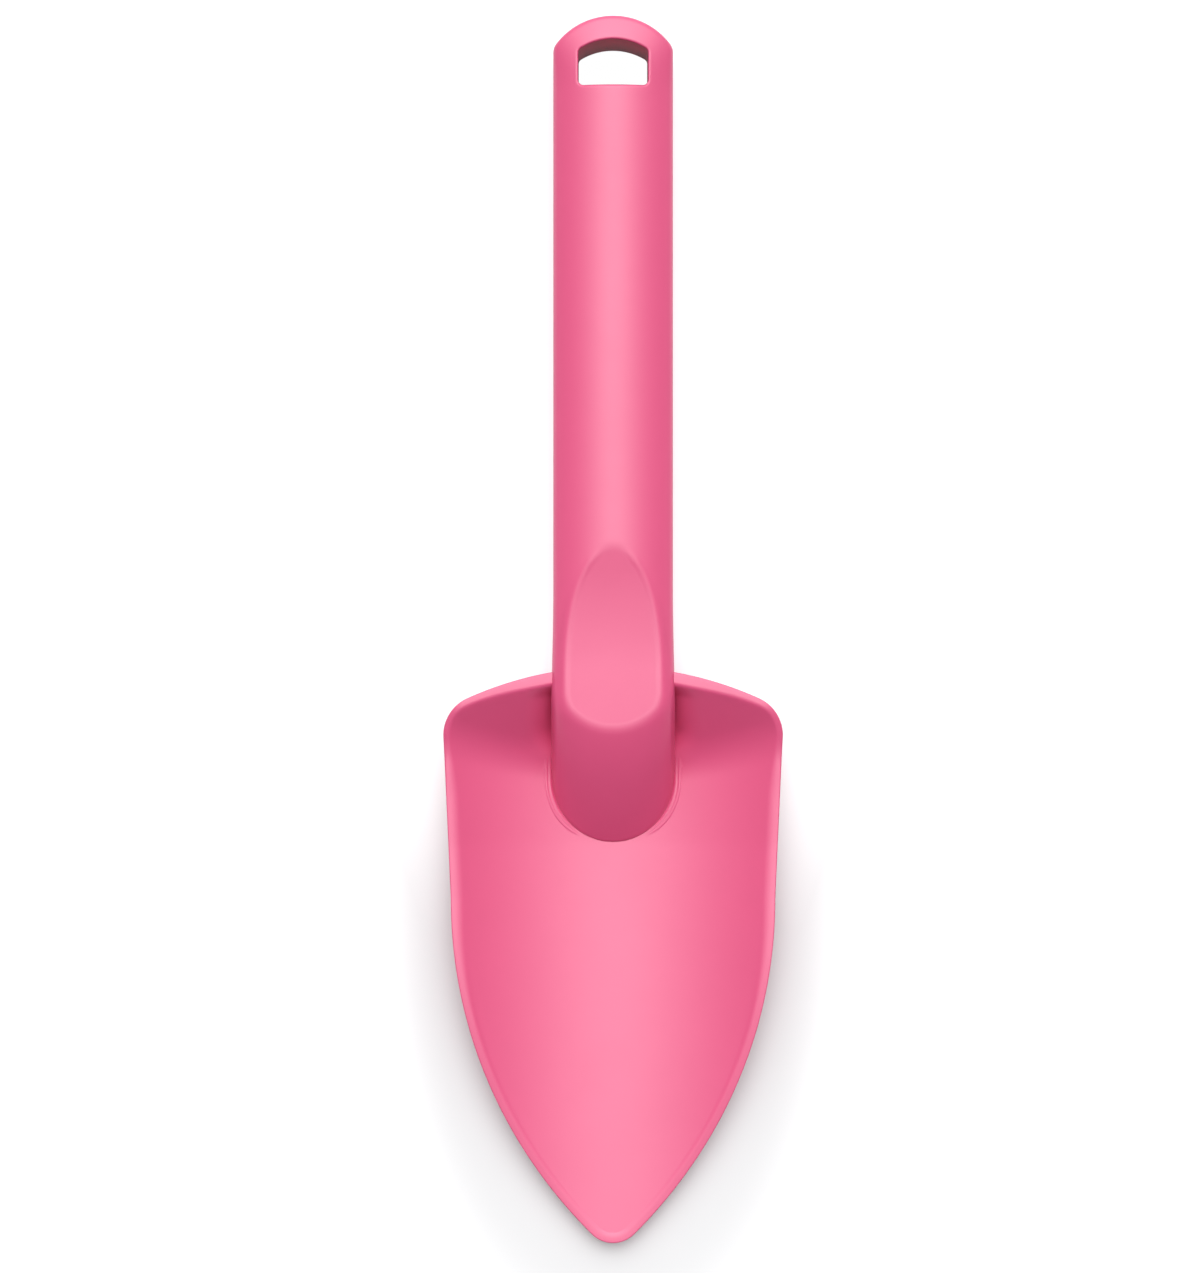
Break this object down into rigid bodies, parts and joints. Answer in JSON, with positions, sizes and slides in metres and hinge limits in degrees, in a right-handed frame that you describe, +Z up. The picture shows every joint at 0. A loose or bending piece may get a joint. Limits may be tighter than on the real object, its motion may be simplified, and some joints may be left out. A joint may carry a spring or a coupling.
{
  "type": "sand shovel",
  "caption": "Child's sand shovel with a hollowed pointed blade, an arched hollow handle, a dished thumb rest and a hang hole.",
  "frame": {"origin": "on the ground under the middle of the shovel's bounding box", "axes": "+Z up out of the scoop, +Y along the handle towards its end, -Y towards the blade's tip, +X to the right"},
  "size_m": [0.0746, 0.27, 0.022],
  "materials": {
    "plastic": "satin moulded plastic with a fine grain"
  },
  "bodies": {
    "root": {"blade": "plastic", "handle": "plastic", "thumb_rest": "plastic"}
  },
  "joints": []
}
